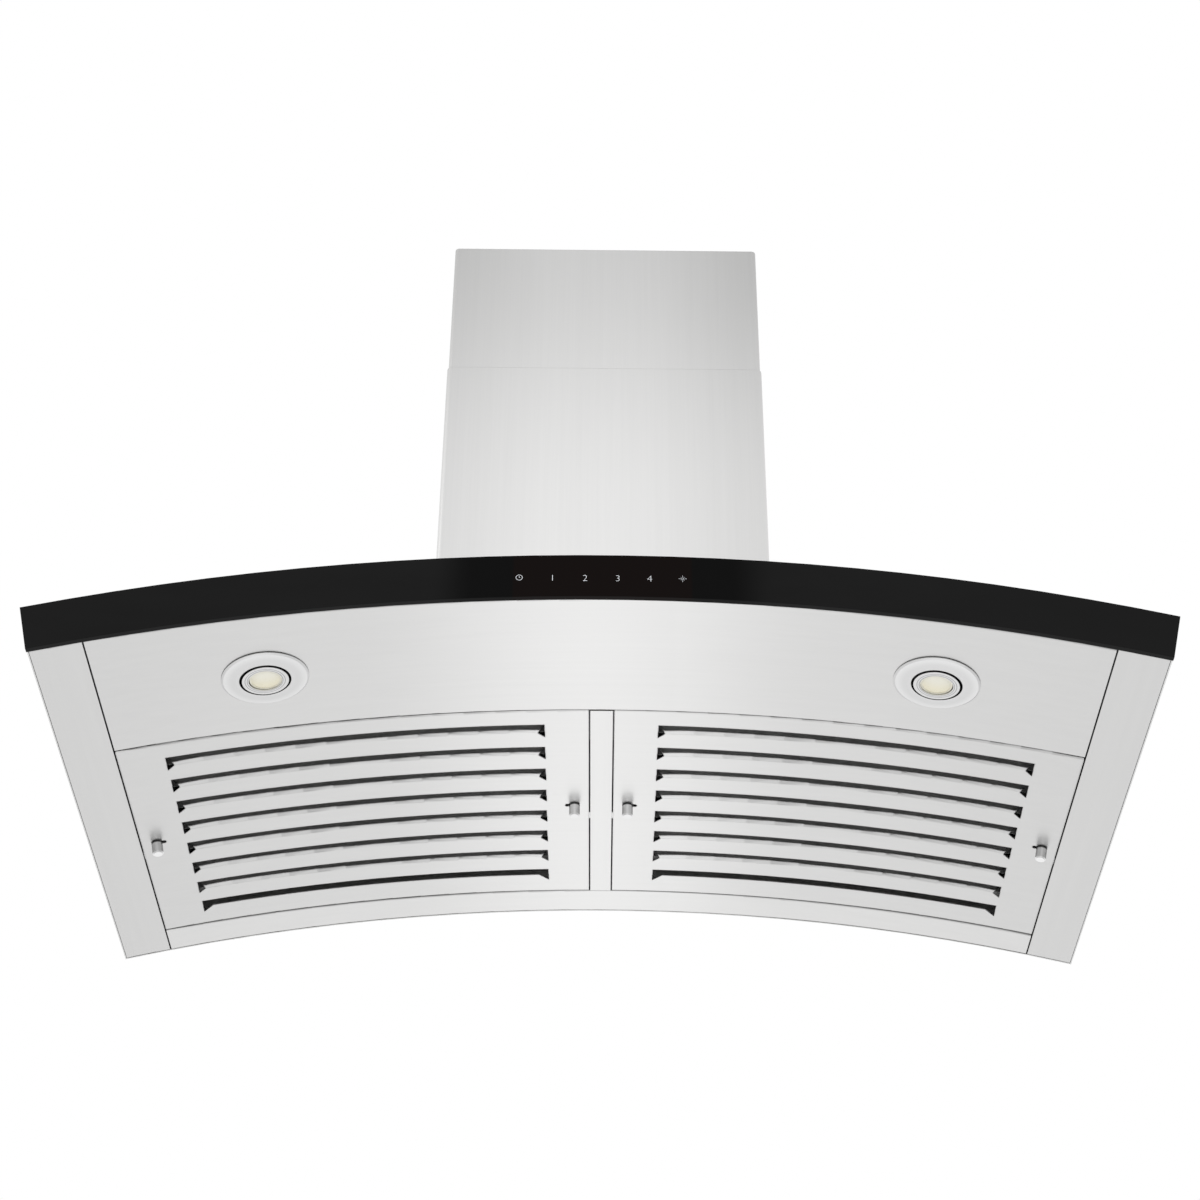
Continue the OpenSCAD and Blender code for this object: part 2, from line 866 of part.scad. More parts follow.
// Turned knob with a rounded end, on the stem that holds it to the bolt.
module latch_knob(x, side) {
    rim = 0.8;
    color(bright)
        at_arch(x, knob_d)
            rotate_extrude()
                difference() {
                    union() {
                        translate([0, -seat - knob_h + rim])
                            square([knob_r, knob_h - rim]);
                        translate([0, -seat - knob_h])
                            square([knob_r - rim, rim + cut / 2]);
                        square([stem_r, bolt_w]);
                        translate([0, -seat - cut / 2])
                            square([stem_r, seat + cut]);
                    }
                    translate([knob_r, -seat - rim])
                        circle(rim / 2);
                }
}

// Coil spring behind the bolt, as rings of points along a helix that is flat at its ends.
module latch_spring(x, side) {
    curls = 6;
    rings = curls * 8;
    sides = 6;
    length = bolt_back - guide_back - 2 * wire_r - 0.2;
    pitch_angle = atan(length / (2 * PI * spring_r * curls));
    points = [for (i = [0:rings]) for (k = [0:sides - 1])
        let(a = 360 * curls * i / rings, b = 360 * k / sides, out = spring_r + wire_r * cos(b))
        [wire_r + 0.1 + length * i / rings + wire_r * sin(b) * cos(pitch_angle),
            out * cos(a) - wire_r * sin(b) * sin(pitch_angle) * -sin(a),
            out * sin(a) - wire_r * sin(b) * sin(pitch_angle) * cos(a)]];
    walls = [for (i = [0:rings - 1]) for (k = [0:sides - 1])
        let(n = (k + 1) % sides, p = i * sides)
        for (t = [[p + k, p + n, p + sides + k], [p + n, p + sides + n, p + sides + k]]) t];
    start = [for (k = [1:sides - 2]) [0, k + 1, k]];
    caps = [for (k = [1:sides - 2]) [rings * sides, rings * sides + k, rings * sides + k + 1]];
    color(bright)
        latch_frame(x, side)
            translate([guide_back, spring_v, spring_w])
                polyhedron(points, concat(walls, start, caps));
}

// motor box and blower

module motor_box() {
    color(zinc)
        difference() {
            union() {
                difference() {
                    block([-box_w / 2, -box_d, arch_z + outer_r - band_h], [box_w / 2, 0, box_top]);
                    block([-box_w / 2 + box_t, -box_d + box_t, arch_z + outer_r - 2 * band_h],
                        [box_w / 2 - box_t, -box_t, box_top - box_t]);
                }
                intersection() {
                    across(0, steel_d)
                        sector_2d(outer_r + seat, outer_r + seat + box_t, steel_a);
                    difference() {
                        block([-box_w / 2 - box_flange, -box_d - box_flange, crown_z - band_h],
                            [box_w / 2 + box_flange, 0, crown_z + band_h]);
                        block([-box_w / 2 + box_t, -box_d + box_t, crown_z - 2 * band_h],
                            [box_w / 2 - box_t, cut, crown_z + 2 * band_h]);
                    }
                }
            }
            across(-cut, steel_d)
                circle(outer_r + seat, $fn = arch_fn);
            for (x = [-1, 1])
                for (z = [-1, 1])
                    translate([x * fix_x / 2, cut, z * fix_z / 2])
                        rotate([90, 0, 0])
                            cylinder(r = fix_r, h = box_t + 2 * cut);
            for (p = box_spots)
                translate([p[0], -p[1], top_z(p[0]) - cut])
                    cylinder(r = screw_hole_r, h = 4 * box_t);
            block([-scroll_w / 2, -blower_d - duct_out, box_top - 2 * box_t],
                [scroll_w / 2, -blower_d - duct_in, box_top + cut]);
            for (p = collar_spots)
                translate([p[0], p[1] - outlet_d, box_top - 2 * box_t])
                    cylinder(r = screw_hole_r, h = 4 * box_t);
        }
}

// Places a piece on the blower's axis.
module at_blower() {
    translate([0, -blower_d, blower_z])
        children();
}

// Scroll outline, drawn in by o: three growing quarter discs and the outlet duct.
module scroll_2d(o) {
    r2 = scroll_r + scroll_step;
    r3 = scroll_r + 2 * scroll_step;
    duct_top = box_top - box_t - blower_z + (o > 0 ? cut : 0);
    intersection() {
        circle(scroll_r - o);
        translate([-2 * scroll_r, 0])
            square(2 * scroll_r);
    }
    translate([scroll_step, 0])
        intersection() {
            circle(r2 - o);
            translate([-2 * r2, -2 * r2])
                square(2 * r2);
        }
    translate([scroll_step, scroll_step])
        intersection() {
            circle(r3 - o);
            translate([0, -2 * r3])
                square(2 * r3);
        }
    square([duct_out - o, scroll_r - o]);
    translate([duct_in + o, 0])
        square([duct_out - duct_in - 2 * o, duct_top]);
}

module blower_scroll() {
    half = scroll_w / 2;
    color(zinc)
        at_blower()
            difference() {
                along_x(-half, half)
                    scroll_2d(0);
                along_x(-half + scroll_t, half - scroll_t)
                    scroll_2d(scroll_t);
                rod_x(inlet_r + inlet_curl, -half - cut, half + cut);
            }
}

// Bell mouth of an inlet: a flange on the scroll's side with a lip that curls into the impeller.
module inlet_ring(side) {
    color(plastic)
        at_blower()
            mirror([side < 0 ? 1 : 0, 0, 0])
                translate([scroll_w / 2, 0, 0])
                    about_x() {
                        translate([inlet_r + inlet_curl, 0])
                            square([inlet_rim, scroll_t]);
                        translate([inlet_r + inlet_curl, scroll_t - inlet_curl])
                            corner_2d(inlet_curl, scroll_t, 90);
                    }
}

// One forward-curved blade between the inner and the outer radius.
module blade_2d() {
    root = impeller_r - blade_w;
    bow = blade_w - 1;
    intersection() {
        translate([root + cut, bow])
            difference() {
                circle(bow);
                circle(bow - 0.8);
            }
        difference() {
            circle(impeller_r - seat);
            circle(root);
        }
        translate([root - cut / 2, -cut])
            square([blade_w + cut, bow]);
    }
}

module impeller() {
    half = impeller_w / 2;
    disc_t = 2;
    color(bright)
        at_blower()
            difference() {
                union() {
                    along_x(-half + disc_t / 2, half - disc_t / 2)
                        for (i = [0:blade_n - 1])
                            rotate(360 * i / blade_n)
                                blade_2d();
                    rod_x(impeller_r, -disc_t / 2, disc_t / 2);
                    for (x = [-half, half - disc_t])
                        difference() {
                            rod_x(impeller_r, x, x + disc_t);
                            rod_x(impeller_r - blade_w, x - cut, x + disc_t + cut);
                        }
                    rod_x(3 * shaft_r, -1.5 * disc_t, 7 * disc_t);
                }
                rod_x(shaft_r + 0.02, -half, half);
            }
}

// Motor inside the impeller, with a boss that seats on the bracket.
module motor() {
    rear = -scroll_w / 2 - scroll_t;
    front = -6;
    color(plastic)
        at_blower()
            difference() {
                union() {
                    rod_x(motor_r, rear + 2 * shaft_r, front);
                    rod_x(4 * shaft_r, rear, front + cut);
                }
                rod_x(shaft_r + 0.06, rear - cut, 0);
            }
}

module motor_shaft() {
    color(bright)
        at_blower()
            rod_x(shaft_r, -scroll_w / 2 + 4, 16);
}

// Ring with three arms across the left inlet.
module motor_bracket() {
    rear = -scroll_w / 2 - scroll_t;
    t = 2;
    rim = inlet_r + inlet_curl + inlet_rim;
    rim_w = 8;
    hub = 5 * shaft_r;
    arm_w = 12;
    color(zinc)
        at_blower()
            union() {
                difference() {
                    rod_x(rim, rear - t, rear);
                    rod_x(rim - rim_w, rear - t - cut, rear + cut);
                }
                difference() {
                    rod_x(hub, rear - t, rear);
                    rod_x(shaft_r + cut, rear - t - cut, rear + cut);
                }
                for (i = [0:2])
                    rotate([120 * i, 0, 0])
                        block([rear - t, -arm_w / 2, hub - 2], [rear, arm_w / 2, rim - rim_w / 2]);
            }
}

// Electrical box on the front of the motor box.
module control_box() {
    color(plastic)
        block([-elec_w / 2, -box_d - elec_d, elec_z], [elec_w / 2, -box_d, elec_z + elec_h]);
}

// Inlet of the mains cable, on top of the electrical box.
module cable_gland() {
    color(black)
        translate([elec_w / 3, -box_d - elec_d / 2, elec_z + elec_h])
            difference() {
                union() {
                    cylinder(r = 2 * gland_r, h = gland_l / 3, $fn = 6);
                    cylinder(r = gland_r + 2.5, h = gland_l);
                }
                translate([0, 0, -cut])
                    cylinder(r = gland_r, h = gland_l + 2 * cut);
            }
}

// outlet and backdraft flaps

module at_outlet() {
    translate([0, -outlet_d, box_top])
        children();
}

module duct_collar() {
    inner_r = collar_r - collar_t;
    ledge_top = collar_t + pin_h - damper_t / 2 - seat;
    ledge_t = 2;
    ledge_w = 4;
    flange = collar_r + 3;
    color(plastic)
        at_outlet()
            difference() {
                union() {
                    block([-flange, -flange, 0], [flange, flange, collar_t]);
                    cylinder(r = collar_r, h = collar_t + collar_l, $fn = 128);
                }
                difference() {
                    translate([0, 0, -cut])
                        cylinder(r = inner_r, h = collar_t + collar_l + 2 * cut, $fn = 128);
                    translate([0, 0, ledge_top - ledge_t])
                        difference() {
                            cylinder(r = inner_r + cut / 2, h = ledge_t, $fn = 128);
                            translate([0, 0, -cut])
                                cylinder(r = inner_r - ledge_w, h = ledge_t + 2 * cut, $fn = 128);
                        }
                }
                translate([0, 0, collar_t + pin_h])
                    rod_x(pin_r + seat, -inner_r - 0.1, inner_r + 0.1);
                for (p = collar_spots)
                    translate([p[0], p[1], -cut])
                        cylinder(r = screw_hole_r, h = collar_t + 2 * cut);
            }
}

module damper_pin() {
    half = collar_r - collar_t - 0.2;
    color(bright)
        at_outlet()
            translate([0, 0, collar_t + pin_h])
                rod_x(pin_r, -half, half);
}

// Half-round flap with two knuckles on the pin. side is -1 for the front flap.
module damper(side) {
    knuckle_r = pin_r + 1.6;
    edge = knuckle_r + 0.8;
    plate_r = collar_r - collar_t - 1.4;
    width = 22;
    step = width + cut;
    starts = side < 0 ? [-2 * step + cut / 2, cut / 2] : [-step + cut / 2, step + cut / 2];
    color(zinc)
        at_outlet()
            translate([0, 0, collar_t + pin_h])
                difference() {
                    union() {
                        intersection() {
                            translate([0, 0, -damper_t / 2])
                                cylinder(r = plate_r, h = damper_t, $fn = 128);
                            block([-plate_r, side < 0 ? -plate_r : edge, -damper_t],
                                [plate_r, side < 0 ? -edge : plate_r, damper_t]);
                        }
                        for (x = starts) {
                            rod_x(knuckle_r, x, x + width);
                            block([x, side < 0 ? -edge - cut : 0, -damper_t / 2],
                                [x + width, side < 0 ? 0 : edge + cut, damper_t / 2]);
                        }
                    }
                    rod_x(pin_r + 0.08, -plate_r, plate_r);
                }
}

// chimney

// Section of a cover: two sides and a front with round upright edges.
module cover_2d(w, d, back, bend) {
    for (s = [0, 1])
        mirror([s, 0]) {
            translate([w / 2 - cover_t, -d + bend])
                square([cover_t, d - bend - back]);
            translate([w / 2 - bend, -d + bend])
                corner_2d(bend, cover_t, 270);
        }
    translate([-w / 2 + bend, -d])
        square([w - 2 * bend, cover_t]);
}

// Lower cover: stands on the arch, with narrow returns at the wall and four screw tabs.
module lower_chimney_cover() {
    low = crown_z - band_h;
    color(steel)
        difference() {
            union() {
                translate([0, 0, low])
                    linear_extrude(lower_top - low) {
                        cover_2d(lower_w, lower_d, 0, cover_bend);
                        for (s = [0, 1])
                            mirror([s, 0])
                                translate([lower_w / 2 - return_w, -cover_t])
                                    square([return_w, cover_t]);
                    }
                intersection() {
                    across(0, steel_d)
                        sector_2d(outer_r + seat, outer_r + seat + cover_t, steel_a);
                    union()
                        for (p = tab_spots)
                            translate([p[0], -p[1], crown_z])
                                cube([tab_w + cover_t, tab_l, 2 * band_h], center = true);
                }
            }
            across(-cut, steel_d)
                circle(outer_r + seat, $fn = arch_fn);
            for (p = tab_spots)
                translate([p[0], -p[1], top_z(p[0]) - cut])
                    cylinder(r = screw_hole_r, h = 4 * cover_t);
        }
}

// Upper cover: slides inside the lower one, with a screw hole in each side near its top.
module upper_chimney_cover() {
    color(steel)
        difference() {
            translate([0, 0, upper_top - upper_h])
                linear_extrude(upper_h)
                    cover_2d(upper_w, upper_d, upper_back, cover_bend - cover_t - cover_gap);
            translate([0, -ear_d / 2, bracket_z])
                rod_x(screw_hole_r, -upper_w, upper_w);
        }
}

// Ceiling bracket: a strip on the wall with two slots and an ear inside each side of the cover.
module chimney_bracket() {
    half = upper_w / 2 - cover_t - 0.1;
    low = bracket_z - bracket_h / 2;
    slot_half = slot_l / 2 - slot_w / 2;
    color(zinc)
        difference() {
            union() {
                block([-half, -bracket_t, low], [half, 0, low + bracket_h]);
                for (x = [-half, half - bracket_t])
                    block([x, -ear_d, low], [x + bracket_t, 0, low + bracket_h]);
            }
            for (s = [-1, 1])
                translate([s * fix_x / 2, 0, bracket_z]) {
                    for (x = [-slot_half, slot_half])
                        translate([x, cut, 0])
                            rotate([90, 0, 0])
                                cylinder(r = slot_w / 2, h = bracket_t + 2 * cut);
                    block([-slot_half, -bracket_t - cut, -slot_w / 2], [slot_half, cut, slot_w / 2]);
                }
            translate([0, -ear_d / 2, bracket_z])
                rod_x(screw_hole_r, -half - cut, half + cut);
        }
}

// screws

module cover_screws() {
    color(bright)
        for (p = tab_spots)
            translate([p[0], -p[1], top_z(p[0]) + seat + cover_t + 0.6])
                screw();
}

module box_screws() {
    color(bright)
        for (p = box_spots)
            translate([p[0], -p[1], top_z(p[0]) + seat + box_t + 0.3])
                screw();
}

module collar_screws() {
    color(bright)
        at_outlet()
            for (p = collar_spots)
                translate([p[0], p[1], collar_t])
                    screw();
}

module bracket_screws() {
    color(bright)
        for (s = [-1, 1])
            translate([s * upper_w / 2, -ear_d / 2, bracket_z])
                rotate([0, s * 90, 0])
                    screw();
}

canopy_shell();
light_panel();
mirror([1, 0, 0]) end_panel();  // end_panel_left
end_panel();  // end_panel_right
rear_rail();
centre_divider();
glass_fascia();
control_housing();
touch_board();
at_arch(-lamp_x, lamp_d) lamp_bezel();  // lamp_bezel_left
at_arch(lamp_x, lamp_d) lamp_bezel();  // lamp_bezel_right
at_arch(-lamp_x, lamp_d) lamp_body();  // lamp_body_left
at_arch(lamp_x, lamp_d) lamp_body();  // lamp_body_right
at_arch(-lamp_x, lamp_d) lamp_lens();  // lamp_lens_left
at_arch(lamp_x, lamp_d) lamp_lens();  // lamp_lens_right
led_driver();
mirror([1, 0, 0]) filter_face();  // filter_face_left
filter_face();  // filter_face_right
mirror([1, 0, 0]) filter_baffle();  // filter_baffle_left
filter_baffle();  // filter_baffle_right
mirror([1, 0, 0]) latch_guides();  // latch_guides_left
latch_guides();  // latch_guides_right
latch_bolt(-filter_x1 + knob_inset, -1);  // latch_bolt_left_outer
latch_bolt(-filter_x0 - knob_inset, 1);  // latch_bolt_left_inner
latch_bolt(filter_x0 + knob_inset, -1);  // latch_bolt_right_inner
latch_bolt(filter_x1 - knob_inset, 1);  // latch_bolt_right_outer
latch_knob(-filter_x1 + knob_inset, -1);  // latch_knob_left_outer
latch_knob(-filter_x0 - knob_inset, 1);  // latch_knob_left_inner
latch_knob(filter_x0 + knob_inset, -1);  // latch_knob_right_inner
latch_knob(filter_x1 - knob_inset, 1);  // latch_knob_right_outer
latch_spring(-filter_x1 + knob_inset, -1);  // latch_spring_left_outer
latch_spring(-filter_x0 - knob_inset, 1);  // latch_spring_left_inner
latch_spring(filter_x0 + knob_inset, -1);  // latch_spring_right_inner
latch_spring(filter_x1 - knob_inset, 1);  // latch_spring_right_outer
motor_box();
blower_scroll();
inlet_ring(-1);  // inlet_ring_left
inlet_ring(1);  // inlet_ring_right
motor();
motor_bracket();
motor_shaft();
impeller();
control_box();
cable_gland();
duct_collar();
damper_pin();
damper(-1);  // damper_front
damper(1);  // damper_rear
lower_chimney_cover();
upper_chimney_cover();
chimney_bracket();
cover_screws();
box_screws();
collar_screws();
bracket_screws();
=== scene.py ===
"""Wall mount range hood: finishes, printed signs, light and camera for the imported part."""

import math

import bmesh
import bpy
from mathutils import Matrix, Vector


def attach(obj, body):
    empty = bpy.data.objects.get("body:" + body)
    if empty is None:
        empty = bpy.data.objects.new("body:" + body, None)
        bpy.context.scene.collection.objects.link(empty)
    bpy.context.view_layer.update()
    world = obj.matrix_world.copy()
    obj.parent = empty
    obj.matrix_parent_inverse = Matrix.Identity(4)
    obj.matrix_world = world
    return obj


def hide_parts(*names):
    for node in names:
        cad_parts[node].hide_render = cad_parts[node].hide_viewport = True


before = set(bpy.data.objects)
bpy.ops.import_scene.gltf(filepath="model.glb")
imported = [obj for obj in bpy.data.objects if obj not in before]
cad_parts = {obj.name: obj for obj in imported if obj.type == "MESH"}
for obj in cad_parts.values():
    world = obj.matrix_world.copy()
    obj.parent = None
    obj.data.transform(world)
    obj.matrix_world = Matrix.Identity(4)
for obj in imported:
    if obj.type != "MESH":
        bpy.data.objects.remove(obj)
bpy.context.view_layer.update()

# Places and sizes of the hood, in metres. The origin is in the middle of its wall fixings.
GLASS_FRONT = -0.5
HALF_WIDTH = 0.45
ARCH_RISE = 0.0554
SLAB_HEIGHT = 0.040
# The underside's highest line, the radius of its face and the axis that it is bent round
CROWN_Z = -0.2
UNDER_RADIUS = (HALF_WIDTH**2 + ARCH_RISE**2) / (2 * ARCH_RISE) - SLAB_HEIGHT
ARCH_AXIS = CROWN_Z - UNDER_RADIUS
# Inner and outer knobs: their feet from the middle of the hood, and their size
KNOB_FEET = (0.02335, 0.3854)
KNOB_RADIUS = 0.0047
KNOB_HEIGHT = 0.0113
# The lamps: their place, the cosine of their lean and the opening of their rings
LAMP_X = 0.2692
LAMP_Y = -0.414
LAMP_TILT = math.sqrt(1 - (LAMP_X / UNDER_RADIUS) ** 2)
LAMP_OPENING = 0.0206


# Shader maths


class Wire:
    """A socket of a shader graph that takes part in Python sums."""

    def __init__(self, graph, socket):
        self.graph = graph
        self.socket = socket

    def _math(self, operation, *terms):
        return self.graph.node("ShaderNodeMath", {"operation": operation}, dict(enumerate(terms)))

    def __add__(self, other):
        return self._math("ADD", self, other)

    def __sub__(self, other):
        return self._math("SUBTRACT", self, other)

    def __rsub__(self, other):
        return self._math("SUBTRACT", other, self)

    def __mul__(self, other):
        return self._math("MULTIPLY", self, other)

    def __truediv__(self, other):
        return self._math("DIVIDE", self, other)

    def __pow__(self, other):
        return self._math("POWER", self, other)

    def __abs__(self):
        return self._math("ABSOLUTE", self)

    __radd__ = __add__

    def least(self, other):
        return self._math("MINIMUM", self, other)

    def most(self, other):
        return self._math("MAXIMUM", self, other)

    def rise(self, low, high):
        """Goes smoothly from 0 at low to 1 at high."""
        return self.graph.node(
            "ShaderNodeMapRange",
            {"interpolation_type": "SMOOTHSTEP"},
            {"Value": self, "From Min": low, "From Max": high},
        )


class Graph:
    """The node tree of a finish, with the object's own coordinates at hand."""

    def __init__(self, tree):
        self.tree = tree
        tree.nodes.clear()

    def node(self, kind, settings=None, sockets=None, out=0):
        made = self.tree.nodes.new(kind)
        for key, value in (settings or {}).items():
            setattr(made, key, value)
        for key, value in (sockets or {}).items():
            if isinstance(value, Wire):
                self.tree.links.new(value.socket, made.inputs[key])
            else:
                made.inputs[key].default_value = value
        return Wire(self, made.outputs[out])

    def place(self):
        """Object coordinates."""
        return self.node("ShaderNodeTexCoord", out="Object")

    def parts(self, vector):
        """The three numbers of a vector."""
        first = self.node("ShaderNodeSeparateXYZ", sockets={0: vector})
        return [first] + [Wire(self, first.socket.node.outputs[i]) for i in (1, 2)]

    def stretched(self, vector, size):
        return self.node("ShaderNodeMapping", sockets={"Vector": vector, "Scale": size})

    def noise(self, vector, scale, detail=3.0, rough=0.5):
        return self.node(
            "ShaderNodeTexNoise",
            sockets={"Vector": vector, "Scale": scale, "Detail": detail, "Roughness": rough},
        )

    def blend(self, factor, low, high):
        """Mixes two colours."""
        return self.node(
            "ShaderNodeMix", {"data_type": "RGBA"}, {0: factor, 6: low, 7: high}, out=2
        )

    def bump(self, height, depth, strength, base):
        return self.node(
            "ShaderNodeBump",
            sockets={"Height": height, "Distance": depth, "Strength": strength, "Normal": base},
        )

    def from_arch(self):
        """Distance from the axis of the arch."""
        x, _, z = self.parts(self.place())
        return ((z - ARCH_AXIS) ** 2 + x**2) ** 0.5

    def above_face(self):
        """Height above the face of the underside, square to the arch."""
        return self.from_arch() - UNDER_RADIUS

    def from_lamp(self):
        """Distance from the axis of the nearer lamp, across it."""
        x, y, _ = self.parts(self.place())
        across = (abs(x) - LAMP_X) / LAMP_TILT
        along = y - LAMP_Y
        return (across**2 + along**2) ** 0.5

    def soft_edges(self, radius):
        """A normal that makes the piece's sharp edges look rounded."""
        return self.node("ShaderNodeBevel", {"samples": 6}, {"Radius": radius})

    def surface(self, **sockets):
        names = {name.replace("_", " "): value for name, value in sockets.items()}
        return self.node("ShaderNodeBsdfPrincipled", sockets=names)

    def output(self, shader, kind="ShaderNodeOutputMaterial"):
        end = self.tree.nodes.new(kind)
        self.tree.links.new(shader.socket, end.inputs["Surface"])


def finish(name):
    """A new material and its graph."""
    material = bpy.data.materials.new(name)
    material.use_nodes = True
    return material, Graph(material.node_tree)


def grey(tone, warm=0.0):
    """A grey, made a little warmer or, below zero, cooler."""
    return (tone * (1 + warm), tone, tone * (1 - warm), 1.0)


# Finishes


ALONG_X, ALONG_Y, ALONG_Z = range(3)


def streaks(graph, place, grain, along, across, detail, rough=0.5):
    """Noise that is drawn out along the grain."""
    scale = [across] * 3
    scale[grain] = along
    return graph.noise(graph.stretched(place, scale), 1.0, detail, rough)


def brushed_steel(
    name, grain, tone, rough, edge=0.0006, middle=0.0, sides=(), painted_rise_shade=(), painted_seam_shade=0.0
):
    """Brushed stainless sheet. grain is the brushing direction.

    The side and height arguments are (from, to, loss): painted sheen in the base colour, lost away
    from its middle and upwards.
    The seam argument is painted shade, taken off the colour just above the underside's face in the
    seams between its sheets.
    edge is the radius that its sharp edges seem to have.
    """
    material, g = finish(name)
    place = g.place()
    x, _, z = g.parts(place)
    # Painted sheen: the base colour is lighter in the middle of the light, darker to the sides and
    # upwards, and painted with shade in the seams.
    painted_sheen = 1.0
    for low, high, loss in sides:
        painted_sheen = painted_sheen - abs(x - middle).rise(low, high) * loss
    for low, high, loss in painted_rise_shade:
        painted_sheen = painted_sheen - z.rise(low, high) * loss
    if painted_seam_shade:
        above = g.above_face()
        seam_mouth_shade = above.rise(0.0002, 0.0010) * (1 - above.rise(0.003, 0.006))
        painted_sheen = painted_sheen - seam_mouth_shade * painted_seam_shade
    streak = streaks(g, place, grain, along=9.0, across=900.0, detail=4.0, rough=0.6)
    band = streaks(g, place, grain, along=2.2, across=160.0, detail=3.0)
    cloud = g.noise(place, 5.0, 2.0)
    # Painted sheen and shade, with the real brushing streaks, bands and clouding on top.
    painted_sheen_and_grain = painted_sheen + (streak - 0.5) * 0.05 + (band - 0.5) * 0.04 + (cloud - 0.5) * 0.03
    g.output(
        g.surface(
            Base_Color=g.blend((painted_sheen_and_grain * tone).least(1.0), grey(0.0), (1.0, 0.998, 0.992, 1.0)),
            Metallic=1.0,
            Roughness=rough + (streak - 0.5) * 0.14 + (cloud - 0.5) * 0.08,
            Normal=g.bump(streak, 0.00002, 0.35, g.soft_edges(edge)),
        )
    )
    return material


def black_glass():
    """Glass painted black on its back, with the clearer window of the control area and a painted dark
    reflection in a band beside it.
    """
    window_edge = (0.069, 0.071)
    painted_reflection_edges = (0.100, 0.135)
    material, g = finish("black_glass")
    x, _, _ = g.parts(g.place())
    window = 1 - abs(x).rise(*window_edge)
    # Painted reflection: a darker band of the back paint beside the window.
    painted_reflection_band = 1 - abs(x).rise(*painted_reflection_edges)
    cloud = g.noise(g.stretched(g.place(), (9.0, 3.0, 30.0)), 1.0, 2.0)
    back_paint_and_reflection = g.blend(painted_reflection_band, g.blend(cloud, grey(0.0070), grey(0.0112)), grey(0.0012))
    g.output(
        g.surface(
            Base_Color=g.blend(window, back_paint_and_reflection, (0.0034, 0.0012, 0.0008, 1.0)),
            Roughness=0.06 + cloud * 0.05,
            Specular_IOR_Level=0.06,
            Normal=g.soft_edges(0.0008),
        )
    )
    return material


def galvanised(name, low, high):
    """Zinc-coated sheet with its pale crystals."""
    material, g = finish(name)
    place = g.place()
    crystals = g.node(
        "ShaderNodeTexVoronoi", {"feature": "F1"}, {"Vector": place, "Scale": 90.0}, out="Color"
    )
    crystal, _, _ = g.parts(crystals)
    dust = g.noise(place, 40.0, 3.0)
    g.output(
        g.surface(
            Base_Color=g.blend(crystal * 0.7 + dust * 0.3, low, high),
            Metallic=0.9,
            Roughness=0.36 + crystal * 0.16,
            Normal=g.bump(dust, 0.00005, 0.4, g.soft_edges(0.0004)),
        )
    )
    return material


def bright_steel():
    """Small bright steel pieces with faint turning marks."""
    tone = 0.82
    material, g = finish("bright_steel")
    mark = g.noise(g.stretched(g.place(), (500.0, 500.0, 2600.0)), 1.0, 3.0)
    g.output(
        g.surface(
            Base_Color=g.blend(mark, grey(tone * 0.9), grey(tone)),
            Metallic=1.0,
            Roughness=0.2 + mark * 0.12,
            Normal=g.bump(mark, 0.00001, 0.5, g.soft_edges(0.0003)),
        )
    )
    return material


def turned_knob():
    """Bright turned steel with painted shade round the knob's foot and down its two sides."""
    tone = 0.80
    material, g = finish("knob_steel")
    x, _, _ = g.parts(g.place())
    below = 0.0 - g.above_face()
    along = abs(x) / g.from_arch() * UNDER_RADIUS
    aside = abs(along - KNOB_FEET[0]).least(abs(along - KNOB_FEET[1]))
    # Painted shade: dark where the foot meets the sheet and down both sides, but not on the bright
    # tip.
    tip = below.rise(KNOB_HEIGHT - 0.0013, KNOB_HEIGHT - 0.0005)
    sides = aside.rise(KNOB_RADIUS - 0.0021, KNOB_RADIUS - 0.0001) * (1 - tip) * 0.55
    lit = below.rise(0.0006, 0.0022) * (1 - sides)
    g.output(
        g.surface(
            Base_Color=g.blend(lit, grey(tone * 0.06), grey(tone)),
            Metallic=1.0,
            Roughness=0.30,
            Normal=g.soft_edges(0.0003),
        )
    )
    return material


def satin_white_metal():
    """Pale satin metal of the lamp rings, paler at the rim, with painted shade that makes the inner
    wall dark.
    """
    material, g = finish("satin_lamp_ring")
    grain = g.noise(g.place(), 1600.0, 2.0)
    out = g.from_lamp()
    # Painted shade: inside the opening the inner wall is near black.
    shown = out.rise(LAMP_OPENING, LAMP_OPENING + 0.0002)
    face = g.blend(grain, grey(0.66), grey(0.71))
    rim = g.blend(grain, grey(0.74), grey(0.80))
    satin = g.blend(out.rise(0.026, 0.033), face, rim)
    g.output(
        g.surface(
            Base_Color=g.blend(shown, grey(0.008), satin),
            Metallic=1.0,
            Roughness=0.34 + grain * 0.1,
            Normal=g.bump(grain, 0.00001, 0.4, g.soft_edges(0.0004)),
        )
    )
    return material


def lamp_can():
    """Cast lamp body: a silver face with two turned lines, and painted shade that makes it black
    behind the ring.
    """
    line_radii = (0.0142, 0.0160)
    material, g = finish("lamp_can")
    # Painted shade: behind the ring the body is near black and not metallic.
    painted_shade_behind_ring = g.above_face().rise(-0.0016, -0.0010)
    mark = g.noise(g.place(), 300.0, 3.0)
    out = g.from_lamp()
    turned = 0.0
    for radius in line_radii:
        turned = turned + (1 - abs(out - radius).rise(0.0001, 0.0005))
    silver = g.blend(turned, g.blend(mark, grey(0.58), grey(0.74)), grey(0.34))
    g.output(
        g.surface(
            Base_Color=g.blend(painted_shade_behind_ring, silver, grey(0.006)),
            Metallic=1.0 - painted_shade_behind_ring,
            Roughness=0.26 + mark * 0.1,
            Specular_IOR_Level=0.1,
            Normal=g.soft_edges(0.0004),
        )
    )
    return material


